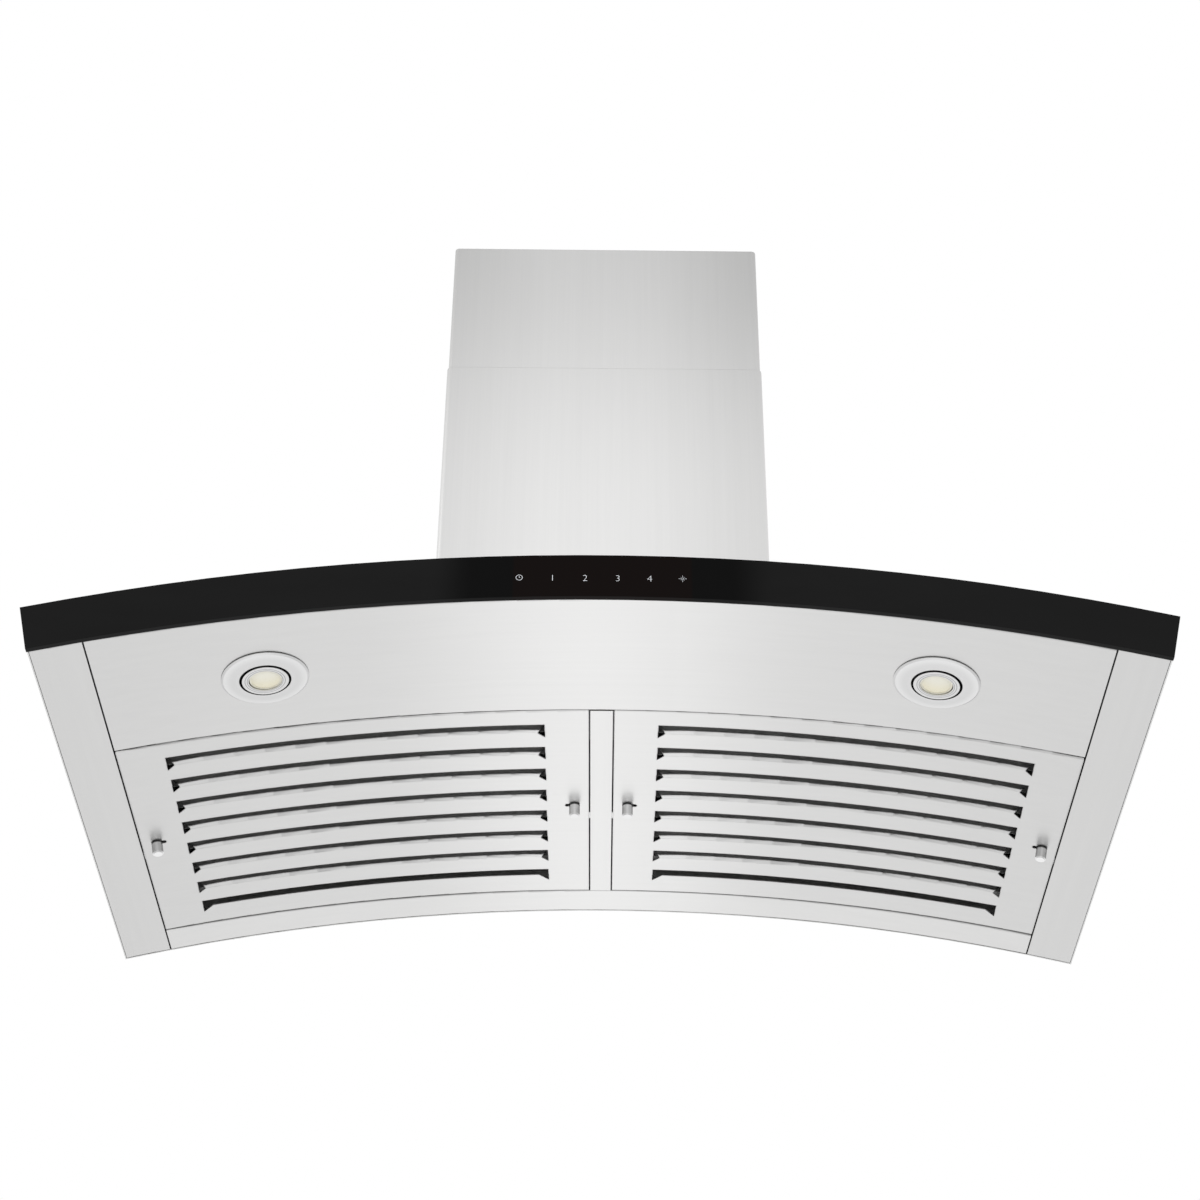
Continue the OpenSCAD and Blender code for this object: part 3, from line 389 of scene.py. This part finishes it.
def moulded(name, colour, rough):
    """Moulded plastic with a fine spark-eroded texture."""
    material, g = finish(name)
    grain = g.noise(g.place(), 1200.0, 3.0)
    low = tuple(c * 0.86 for c in colour) + (1.0,)
    g.output(
        g.surface(
            Base_Color=g.blend(grain, low, colour + (1.0,)),
            Roughness=rough + grain * 0.16,
            Normal=g.bump(grain, 0.00003, 0.6, g.soft_edges(0.0004)),
        )
    )
    return material


def circuit_board():
    """Green board with pale copper runs."""
    material, g = finish("circuit_board")
    x, _, z = g.parts(g.place())
    cells = g.node(
        "ShaderNodeTexBrick",
        {"offset": 0.37},
        {
            "Vector": g.node("ShaderNodeCombineXYZ", sockets={0: x, 1: z}),
            "Scale": 60.0,
            "Mortar Size": 0.02,
            "Color1": (0.006, 0.09, 0.035, 1.0),
            "Color2": (0.008, 0.11, 0.04, 1.0),
            "Mortar": (0.16, 0.34, 0.12, 1.0),
        },
    )
    g.output(g.surface(Base_Color=cells, Roughness=0.35, Coat_Weight=0.4))
    return material


def frosted_lens():
    """Frosted warm lens: cream over its lamp and paler at its rim, with a painted highlight that makes
    it paler towards the front.
    """
    material, g = finish("frosted_lens")
    place = g.place()
    grain = g.noise(place, 900.0, 2.0)
    _, y, _ = g.parts(place)
    # Painted highlight: the lens is paler towards the front.
    front = (LAMP_Y - y).rise(-0.008, 0.010)
    rim = g.from_lamp().rise(0.0105, 0.0122)
    cream = g.blend(grain, (0.76, 0.70, 0.46, 1.0), (0.84, 0.79, 0.58, 1.0))
    g.output(
        g.surface(
            Base_Color=g.blend(front.most(rim * 0.8), cream, (0.88, 0.87, 0.78, 1.0)),
            Roughness=0.24 + grain * 0.1,
            Coat_Weight=0.6,
            Emission_Color=(1.0, 0.93, 0.74, 1.0),
            Emission_Strength=0.12,
        )
    )
    return material


def printed_white():
    """Slightly cool white print, with a little light of its own."""
    cool = -0.02
    material, g = finish("printed_white")
    grain = g.noise(g.place(), 3000.0, 2.0)
    g.output(
        g.surface(
            Base_Color=g.blend(grain, grey(0.62, cool), grey(0.76, cool)),
            Roughness=0.5,
            Emission_Color=(0.86, 0.9, 1.0, 1.0),
            Emission_Strength=0.25,
        )
    )
    return material


# Painted sheen of the sheets as (from, to, loss): lost away from the middle of the light and, on the
# chimney, upwards; then the painted shade in the seams
UNDER_SHEEN = ((0.0, 0.20, 0.19), (0.16, 0.45, 0.05))
RAIL_SHEEN = ((0.0, 0.20, 0.15), (0.16, 0.45, 0.03))
CHIMNEY_SHEEN = ((0.02, 0.19, 0.16),)
CHIMNEY_SHEEN_UPWARDS = ((0.05, 0.42, 0.19),)
SEAM_SHADE = 0.6
UNDERSIDE = {"rough": 0.33, "middle": -0.008}

STEEL_UNDER = brushed_steel(
    "brushed_steel_underside", ALONG_X, 0.80, sides=UNDER_SHEEN, painted_seam_shade=SEAM_SHADE, **UNDERSIDE
)
STEEL_RAIL = brushed_steel(
    "brushed_steel_rear_rail", ALONG_X, 0.805, sides=RAIL_SHEEN, painted_seam_shade=SEAM_SHADE, **UNDERSIDE
)
STEEL_LOUVRES = brushed_steel(
    "brushed_steel_louvres", ALONG_X, 0.80, sides=UNDER_SHEEN, edge=0.0016, **UNDERSIDE
)
STEEL_ENDS = brushed_steel(
    "brushed_steel_end_strips", ALONG_Y, 0.80, sides=UNDER_SHEEN, painted_seam_shade=SEAM_SHADE, **UNDERSIDE
)
STEEL_SHELL = brushed_steel("brushed_steel_canopy", ALONG_X, 0.68, 0.30)
STEEL_CHIMNEY = brushed_steel(
    "brushed_steel_chimney",
    ALONG_Z,
    0.862,
    0.34,
    middle=-0.014,
    sides=CHIMNEY_SHEEN,
    painted_rise_shade=CHIMNEY_SHEEN_UPWARDS,
)
GLASS = black_glass()
ZINC = galvanised("galvanised", (0.50, 0.52, 0.54, 1.0), (0.68, 0.70, 0.72, 1.0))
# The baffle's zinc is a darker grey than the other zinc: painted shade for the closed inside of the
# filter.
BAFFLE_PAINTED_DARK = galvanised("baffle_sheet", grey(0.38), grey(0.50))
BRIGHT = bright_steel()
KNOB_STEEL = turned_knob()
LAMP_RING = satin_white_metal()
LAMP_CAN = lamp_can()
DARK_PLASTIC = moulded("dark_plastic", (0.035, 0.035, 0.037), 0.5)
BLACK_PLASTIC = moulded("black_plastic", (0.012, 0.012, 0.012), 0.42)
BOARD = circuit_board()
LENS = frosted_lens()
PRINT = printed_white()

SIDES = ("left", "right")
LATCHES = ("left_outer", "left_inner", "right_inner", "right_outer")

FINISHES = {
    "canopy_shell": STEEL_SHELL,
    "light_panel": STEEL_UNDER,
    "rear_rail": STEEL_RAIL,
    "centre_divider": STEEL_ENDS,
    "glass_fascia": GLASS,
    "control_housing": BLACK_PLASTIC,
    "touch_board": BOARD,
    "led_driver": DARK_PLASTIC,
    "motor_box": ZINC,
    "blower_scroll": ZINC,
    "motor": ZINC,
    "motor_bracket": ZINC,
    "motor_shaft": BRIGHT,
    "impeller": DARK_PLASTIC,
    "control_box": DARK_PLASTIC,
    "cable_gland": BLACK_PLASTIC,
    "duct_collar": DARK_PLASTIC,
    "damper_pin": BRIGHT,
    "damper_front": ZINC,
    "damper_rear": ZINC,
    "lower_chimney_cover": STEEL_CHIMNEY,
    "upper_chimney_cover": STEEL_CHIMNEY,
    "chimney_bracket": ZINC,
    "cover_screws": BRIGHT,
    "box_screws": BRIGHT,
    "collar_screws": BRIGHT,
    "bracket_screws": BRIGHT,
}
for side in SIDES:
    FINISHES.update(
        {
            "end_panel_" + side: STEEL_ENDS,
            "lamp_bezel_" + side: LAMP_RING,
            "lamp_body_" + side: LAMP_CAN,
            "lamp_lens_" + side: LENS,
            "filter_face_" + side: STEEL_LOUVRES,
            "filter_baffle_" + side: BAFFLE_PAINTED_DARK,
            "latch_guides_" + side: DARK_PLASTIC,
            "inlet_ring_" + side: DARK_PLASTIC,
        }
    )
for latch in LATCHES:
    FINISHES.update(
        {
            "latch_bolt_" + latch: BRIGHT,
            "latch_knob_" + latch: KNOB_STEEL,
            "latch_spring_" + latch: BRIGHT,
        }
    )

for node, material in FINISHES.items():
    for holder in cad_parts[node].material_slots:
        holder.material = material


# New pieces


def in_scene(name, data):
    """Makes an object of its data and puts it into the scene."""
    made = bpy.data.objects.new(name, data)
    bpy.context.scene.collection.objects.link(made)
    return made


def mesh_of(name, shape, material):
    """Turns a finished bmesh into a mesh."""
    mesh = bpy.data.meshes.new(name)
    shape.to_mesh(mesh)
    shape.free()
    mesh.materials.append(material)
    return mesh


def piece(name, shape, material):
    """Makes an object of a finished bmesh, fixed to the hood."""
    made = in_scene(name, mesh_of(name, shape, material))
    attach(made, "hood")
    return made


def turn_about_z(shape, outline, steps):
    """Turns an outline once round the Z axis."""
    bmesh.ops.spin(
        shape,
        geom=outline,
        cent=(0, 0, 0),
        axis=(0, 0, 1),
        angle=math.tau,
        steps=steps,
        use_merge=True,
    )


# The lens about its axis: its rim, its back and its step from the lamp's front, and its dome
LENS_RIM = 0.013
LENS_SEAT = 0.004
LENS_STEP = -0.0024
DOME_RADIUS = 0.0121
DOME_HEIGHT = 0.0032
DOME_STEPS = 12
LENS_TURNS = 72
SHARP_ANGLE = math.radians(40)


def lamp_lens(side, way):
    """Domed lens with a stepped rim, turned about the lamp's axis."""
    curve = (DOME_RADIUS**2 + DOME_HEIGHT**2) / (2 * DOME_HEIGHT)
    edge = math.asin(DOME_RADIUS / curve)
    outline = [(0.0, LENS_SEAT), (LENS_RIM, LENS_SEAT), (LENS_RIM, LENS_STEP)]
    for k in range(DOME_STEPS + 1):
        turn = edge * (1 - k / DOME_STEPS)
        drop = curve * (math.cos(turn) - math.cos(edge))
        outline.append((curve * math.sin(turn), LENS_STEP - drop))
    shape = bmesh.new()
    points = [shape.verts.new((r, 0.0, h)) for r, h in outline]
    edges = [shape.edges.new(pair) for pair in zip(points, points[1:])]
    turn_about_z(shape, points + edges, LENS_TURNS)
    bmesh.ops.remove_doubles(shape, verts=shape.verts, dist=1e-6)
    bmesh.ops.recalc_face_normals(shape, faces=shape.faces)
    for face in shape.faces:
        face.smooth = True
    for rim in shape.edges:
        rim.smooth = rim.calc_face_angle(0.0) < SHARP_ANGLE
    lean = Matrix.Rotation(way * math.acos(LAMP_TILT), 4, "Y")
    lamp_z = ARCH_AXIS + UNDER_RADIUS * LAMP_TILT
    seat = Matrix.Translation((way * LAMP_X, LAMP_Y, lamp_z))
    bmesh.ops.transform(shape, matrix=seat @ lean, verts=shape.verts)
    made = piece("domed_lens_" + side, shape, LENS)
    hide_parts("lamp_lens_" + side)


lamp_lens("left", -1)
lamp_lens("right", 1)

# Printed signs: how far they stand off the glass, their height and their line widths
PRINT_PROUD = 0.00004
SIGN_HEIGHT = 0.0064
SIGN_Z = -0.1827
TYPE_SIZE = 1.36 * SIGN_HEIGHT
TYPE_THINNING = 0.00021
HAND_WIDTH = 0.00034
RAY_WIDTH = 0.00024
# Their places across the glass
POWER_X = -0.0653
SPEED_XS = {"1": -0.0392, "2": -0.0137, "3": 0.0119, "4": 0.0369}
LIGHT_X = 0.0628


def bar(shape, start, end, width):
    """A printed line with square ends."""
    a, b = Vector(start), Vector(end)
    along = b - a
    middle = (a + b) / 2
    place = Matrix.Translation((middle.x, middle.y, 0))
    turn = Matrix.Rotation(math.atan2(along.y, along.x), 4, "Z")
    size = Matrix.Diagonal((along.length, width, 1.0, 1.0))
    made = bmesh.ops.create_grid(shape, x_segments=1, y_segments=1, size=0.5)
    bmesh.ops.transform(shape, matrix=place @ turn @ size, verts=made["verts"])


def ring(shape, radius, width, steps):
    """A printed ring, as a short edge turned about its centre."""
    low = shape.verts.new((radius - width / 2, 0, 0))
    high = shape.verts.new((radius + width / 2, 0, 0))
    turn_about_z(shape, [low, high, shape.edges.new((low, high))], steps)


def on_glass(shape, x):
    """Stands a flat sign up on the front of the glass, at a distance from the centre line."""
    bmesh.ops.remove_doubles(shape, verts=shape.verts, dist=1e-7)
    place = Matrix.Translation((x, GLASS_FRONT - PRINT_PROUD, SIGN_Z))
    upright = Matrix.Rotation(math.radians(90), 4, "X")
    bmesh.ops.transform(shape, matrix=place @ upright, verts=shape.verts)
    bmesh.ops.recalc_face_normals(shape, faces=shape.faces)
    for face in shape.faces:
        if face.normal.y > 0:
            face.normal_flip()


def numeral(text, x):
    """A printed numeral of the fan speeds."""
    curve = bpy.data.curves.new("numeral_" + text, "FONT")
    curve.body = text
    curve.size = TYPE_SIZE
    curve.align_x = "CENTER"
    curve.align_y = "CENTER"
    curve.resolution_u = 4
    curve.offset = -TYPE_THINNING
    holder = in_scene("numeral_" + text, curve)
    bpy.context.view_layer.update()
    flat = bpy.data.meshes.new_from_object(holder)
    bpy.data.objects.remove(holder)
    shape = bmesh.new()
    shape.from_mesh(flat)
    bpy.data.meshes.remove(flat)
    across = [v.co.x for v in shape.verts]
    upwards = [v.co.y for v in shape.verts]
    middle = Vector((min(across) + max(across), min(upwards) + max(upwards), 0)) / 2
    bmesh.ops.translate(shape, verts=shape.verts, vec=-middle)
    on_glass(shape, x)
    piece("sign_speed_" + text, shape, PRINT)


def power_sign(x):
    """A printed ring with two clock hands."""
    shape = bmesh.new()
    ring(shape, 0.0025, 0.00036, 28)
    bar(shape, (0, 0), (0, 0.0014), HAND_WIDTH)
    bar(shape, (-HAND_WIDTH / 2, 0), (0.0008, 0), HAND_WIDTH)
    on_glass(shape, x)
    piece("sign_power", shape, PRINT)


def light_sign(x):
    """A small printed ring with four long and four short rays."""
    shape = bmesh.new()
    ring(shape, 0.0008, 0.00026, 20)
    for k in range(8):
        turn = math.radians(45 * k)
        way = Vector((math.cos(turn), math.sin(turn)))
        tip = 0.0032 if k % 2 == 0 else 0.0020
        bar(shape, way * 0.0014, way * tip, RAY_WIDTH)
    on_glass(shape, x)
    piece("sign_light", shape, PRINT)


power_sign(POWER_X)
for speed, speed_x in SPEED_XS.items():
    numeral(speed, speed_x)
light_sign(LIGHT_X)


# Camera: the photograph's place in metres, its direction in radians and its framing in pixels

CAMERA_AT = (0.001431, -2.035478, -1.333442)
YAW = 0.020307
PITCH = 0.634270
ROLL = -0.004159
PHOTO_PIXELS = 1200.0
FOCAL_PIXELS = 2449.04
SHIFT_PIXELS = -44.29
SENSOR = 36.0


def place_camera():
    """A level camera that is tilted up at the hood, with its sideways shift."""
    ahead = Vector((math.sin(YAW) * math.cos(PITCH), math.cos(YAW) * math.cos(PITCH), math.sin(PITCH)))
    level = Vector((math.cos(YAW), -math.sin(YAW), 0))
    above = level.cross(ahead)
    right = level * math.cos(ROLL) + above * math.sin(ROLL)
    up = above * math.cos(ROLL) - level * math.sin(ROLL)
    data = bpy.data.cameras.new("camera")
    data.sensor_width = SENSOR
    data.lens = FOCAL_PIXELS * SENSOR / PHOTO_PIXELS
    data.shift_x = SHIFT_PIXELS / PHOTO_PIXELS
    data.clip_start = 0.05
    camera = in_scene("camera", data)
    turned = Matrix((right, up, -ahead)).transposed().to_4x4()
    camera.matrix_world = Matrix.Translation(CAMERA_AT) @ turned
    bpy.context.scene.camera = camera


place_camera()


# Studio

FLOOR_HALF = 9.0
FLOOR_Y = -1.0
FLOOR_Z = -3.2


def floor():
    """Pale floor far below the hood. Metal mirrors it as light that fades to both sides."""
    shape = bmesh.new()
    bmesh.ops.create_grid(shape, x_segments=1, y_segments=1, size=FLOOR_HALF)
    bmesh.ops.translate(shape, verts=shape.verts, vec=(0, FLOOR_Y, FLOOR_Z))
    material, g = finish("pale_floor")
    x, y, _ = g.parts(g.place())
    shown = y.rise(-2.6, 2.0) * 0.06 + 0.94 - abs(x).rise(0.5, 2.9) * 0.30
    mirrored = g.surface(
        Base_Color=grey(0.0),
        Specular_IOR_Level=0.0,
        Emission_Color=g.blend(shown, grey(0.0), grey(1.0)),
        Emission_Strength=1.17,
    )
    plain = g.surface(Base_Color=grey(0.82), Roughness=0.9, Specular_IOR_Level=0.1)
    in_metal = g.node("ShaderNodeLightPath", out="Is Glossy Ray")
    g.output(g.node("ShaderNodeMixShader", sockets={0: in_metal, 1: plain, 2: mirrored}))
    in_scene("floor", mesh_of("floor", shape, material))


def studio_world():
    """White to the eye; a softly graded room to the surfaces."""
    world = bpy.context.scene.world or bpy.data.worlds.new("studio")
    bpy.context.scene.world = world
    world.use_nodes = True
    g = Graph(world.node_tree)
    way = g.node("ShaderNodeTexCoord", out="Generated")
    _, _, z = g.parts(way)
    seen = g.node("ShaderNodeLightPath", out="Is Camera Ray")
    ceiling = z.rise(0.42, 0.86)
    low = 1 - z.rise(0.2, 0.45)
    tone = 1.12 - ceiling * 0.42 - low * 0.14
    strength = seen + (1 - seen) * tone
    room = g.node("ShaderNodeBackground", sockets={"Color": grey(1.0), "Strength": strength})
    g.output(room, "ShaderNodeOutputWorld")


def soft_lamp(name, at, towards, side, power):
    """A square lamp that is aimed at a point."""
    data = bpy.data.lights.new(name, "AREA")
    data.shape = "SQUARE"
    data.size = side
    data.energy = power
    lamp = in_scene(name, data)
    lamp.location = at
    lamp.rotation_mode = "QUATERNION"
    lamp.rotation_quaternion = (Vector(towards) - Vector(at)).to_track_quat("-Z", "Y")


floor()
studio_world()
soft_lamp("side_light", (-3.0, -1.6, 1.0), (0, -0.2, 0.0), 1.6, 9.0)

bpy.context.scene.view_settings.view_transform = "Standard"
